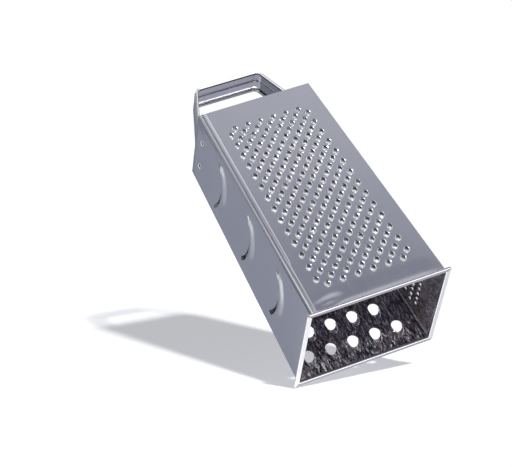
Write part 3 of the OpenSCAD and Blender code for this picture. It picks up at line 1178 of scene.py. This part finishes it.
def rivets():
    clearSelection()
    bpy.ops.mesh.primitive_uv_sphere_add(segments=rivet["sides"], ring_count=12, radius=1)
    head = justMade("head")
    editAll()
    bpy.ops.transform.resize(value=(rivet["head"], rivet["head"], rivet["rise"]))
    objectMode()
    head.data.transform(Matrix.Translation((0, 0, -strip["tabThickness"] - closeFit)))
    head.data.materials.append(rivetSteel)
    length = body["sheet"] + strip["tabThickness"] - rivet["sunk"]
    shank = cylinder(
        "shank", rivet["sides"], rivet["shank"], length,
        location=(0, 0, body["sheet"] - rivet["sunk"] - length / 2),
    )
    shank.data.materials.append(boreShadeSteel)
    dished = ringStack("dished", rivet["rings"], rivet["sides"])
    dished.data.transform(Matrix.Translation((0, 0, body["sheet"])))
    for radius, material in rivet["zones"]:
        dished.data.materials.append(material)
    for face in dished.data.polygons:
        reach = face.center.xy.length
        zone = sum(reach <= radius for radius, material in rivet["zones"])
        face.material_index = 0 if looksIn(face) else zone
    places = [
        Matrix.Scale(1 / millimetre, 4) @ wallPlace(wall) @ shift
        for wall in (right, left)
        for shift in shiftedTo(rivetSpots())
    ]
    piece = copiesAt(joinAll([head, dished, shank], "rivetMaster"), places, "rivets")
    smoothTo(piece, degrees=50)
    setDown(piece, Matrix.Scale(millimetre, 4), "handle_rivets")


for build in (frontWall, rightWall, backWall, leftWall, handle, rivets):
    build()


# Camera as in the photograph

shot = {
    "focal": 2049.0, "width": 512, "sensor": 36.0, "clip": (0.05, 30),
    "place": (-0.5095, -1.1004, -0.6389),
    # the picture's right and inward directions on the object's axes
    "right": (0.8966, -0.0932, -0.4329),
    "into": (0.3352, 0.7817, 0.5260),
}
across = Vector(shot["right"]).normalized()
into = Vector(shot["into"]).normalized()
upwards = -into.cross(across).normalized()
camera = bpy.data.objects.new("camera", bpy.data.cameras.new("camera"))
scene.collection.objects.link(camera)
camera.data.sensor_width = shot["sensor"]
camera.data.lens = shot["focal"] * shot["sensor"] / shot["width"]
camera.data.clip_start, camera.data.clip_end = shot["clip"]
camera.matrix_world = Matrix.Translation(shot["place"]) @ Matrix(
    (across, upwards, -into)
).transposed().to_4x4()
scene.camera = camera


# Floor, background and light, in metres

studio = {
    "floorUp": (-0.0683, 0.9926, -0.1008),  # in the picture: right, up, into
    "floorTouch": (-0.0535, 0.0412, 0.0),  # the lowest corner of the foot
    "floorWidth": 8,
    "floorSunk": 0.0005,
    "floorColour": (0.8, 0.8, 0.805, 1),
    "floorGlow": (0.435, 0.442, 0.467, 1),
    "keyFrom": (0.2601, 0.4526, -0.8529),
    "keyPower": 3.9,
    "keyAngle": 3.0,
    "fill": 0.09,
    # what the steel mirrors far away, from below to above
    "room": [(0.0, 1.0), (0.7, 1.0), (0.79, (0.17, 0.18, 0.23)), (1.0, (0.12, 0.13, 0.17))],
    # the board overhead, a glowing board that paints the front's reflections: its reach in the
    # picture's right and depth, and its shade by depth
    "boardReach": (-1.4, 1.6),
    "overhead": [
        (-1.4, 1.0), (-0.85, 1.0), (-0.62, (0.22, 0.225, 0.29)), (-0.2, (0.25, 0.255, 0.33)),
        (-0.1, (0.47, 0.475, 0.55)), (0.0, (0.58, 0.585, 0.655)), (0.25, (0.75, 0.75, 0.8)),
        (0.5, 1.0), (1.6, 1.0),
    ],
    # glowing boards on the floor that the walls mirror, painted reflections of a shaded floor; a
    # corner is its azimuth from the picture's depth, its distance and its height
    "floorShade": (0.335, 0.347, 0.425),
    "sideShade": (0.55, 0.56, 0.63),
    "floorCard": [(0, 0), (62, 0.4), (-10, 2.1), (-49, 2.0)],
    "farCard": [(-49, 2.0), (-12, 2.0), (-12, 2.0, 0.9), (-49, 2.0, 0.9)],
    "legCard": [(-14, 2.05), (9, 2.05), (9, 2.05, 0.22), (-14, 2.05, 0.22)],
    "sideCard": [(-49, 0.01), (-78, 0.01), (-78, 2.0), (-49, 2.0)],
}


def inPicture(rightWards, upWards, inWards):
    return across * rightWards + upwards * upWards + into * inWards


floorUp = inPicture(*studio["floorUp"]).normalized()
floorRight = floorUp.cross(across).cross(floorUp).normalized()
floorAway = floorUp.cross(floorRight)


def onFloor(turn, distance, up=0.001):
    turn = math.radians(turn)
    outwards = floorRight * math.sin(turn) + floorAway * math.cos(turn)
    return outwards * distance + floorUp * up


def card(name, corners, stops):
    # a glowing board beside the set that only the steel sees: it paints reflections of light and
    # shade; its corners are counted from the foot's lowest one
    clearSelection()
    bpy.ops.mesh.primitive_plane_add(size=1)
    board = justMade(name)
    for vertex, corner in zip(
        board.data.vertices, (corners[0], corners[1], corners[3], corners[2])
    ):
        vertex.co = Vector(studio["floorTouch"]) + corner
    material, graph = newMaterial(name)
    # its shade runs from the first corner's side to the third's
    flatPlace = graph.node("ShaderNodeTexCoord", output="UV")
    run = graph.node("ShaderNodeSeparateXYZ", {0: flatPlace}, output=1)
    glow = graph.node("ShaderNodeEmission", {"Color": graph.ramp(run, stops), "Strength": 1.0})
    graph.node("ShaderNodeOutputMaterial", {"Surface": glow})
    board.data.materials.append(material)
    board.visible_camera = False
    board.visible_shadow = False
    board.visible_diffuse = False


def plainCard(name, shade):
    corners = [onFloor(*corner) for corner in studio[name]]
    card(name, corners, [(0.0, studio[shade]), (1.0, studio[shade])])


def overheadBoard():
    near, far = studio["boardReach"]
    corners = ((near, near), (far, near), (far, far), (near, far))
    card(
        "overheadBoard",
        [inPicture(rightWards, 1.0, inWards) for rightWards, inWards in corners],
        [((depth - near) / (far - near), shade) for depth, shade in studio["overhead"]],
    )


def keyLight():
    # far away, so that the floor is lit evenly
    data = bpy.data.lights.new("keyLight", "SUN")
    data.energy = studio["keyPower"]
    data.angle = math.radians(studio["keyAngle"])
    made = bpy.data.objects.new("keyLight", data)
    scene.collection.objects.link(made)
    made.matrix_world = inPicture(*studio["keyFrom"]).to_track_quat("Z", "Y").to_matrix().to_4x4()


def layFloor():
    clearSelection()
    bpy.ops.mesh.primitive_plane_add(size=1)
    floor = justMade("floor")
    place = Matrix.Translation(Vector(studio["floorTouch"]) - floorUp * studio["floorSunk"])
    turn = floorUp.to_track_quat("Z", "Y").to_matrix().to_4x4()
    width = studio["floorWidth"]
    floor.matrix_world = place @ turn @ Matrix.Diagonal((width, width, 1, 1))
    material, graph = newMaterial("floor")
    matt = graph.node("ShaderNodeBsdfDiffuse", {"Color": studio["floorColour"]})
    glow = graph.node("ShaderNodeEmission", {"Color": studio["floorGlow"], "Strength": 1.0})
    both = graph.node("ShaderNodeAddShader", {0: matt, 1: glow})
    # from below the floor is clear
    clear = graph.node("ShaderNodeBsdfTransparent")
    underside = graph.node("ShaderNodeNewGeometry", output="Backfacing")
    shown = graph.node("ShaderNodeMixShader", {0: underside, 1: both, 2: clear})
    graph.node("ShaderNodeOutputMaterial", {"Surface": shown})
    floor.data.materials.append(material)


def lightWorld():
    world = bpy.data.worlds.new("studio")
    scene.world = world
    world.use_nodes = True
    graph = Graph(world.node_tree)

    def ray(kind):
        return graph.node("ShaderNodeLightPath", output=kind)

    direct = ray("Is Camera Ray") + ray("Is Transmission Ray")
    # the steel mirrors a white sweep below and a dim room above
    towards = graph.node("ShaderNodeTexCoord")
    height = graph.node(
        "ShaderNodeVectorMath", {0: towards, 1: tuple(upwards)}, output=1, operation="DOT_PRODUCT"
    )
    room = graph.ramp(height * 0.5 + 0.5, studio["room"])
    plain = graph.mixColour(direct, (studio["fill"],) * 3 + (1,), (1, 1, 1, 1))
    shown = graph.mixColour(ray("Is Glossy Ray"), plain, room)
    glow = graph.node("ShaderNodeBackground", {"Color": shown, "Strength": 1.0})
    graph.node("ShaderNodeOutputWorld", {"Surface": glow})


layFloor()
lightWorld()
overheadBoard()
# the dark boards paint the floor's shade into the walls' reflections, the side one a lighter shade
# for the blades' slopes
for name in ("floorCard", "farCard", "legCard"):
    plainCard(name, "floorShade")
plainCard("sideCard", "sideShade")
keyLight()
scene.view_settings.view_transform = "Standard"
print("studio set")
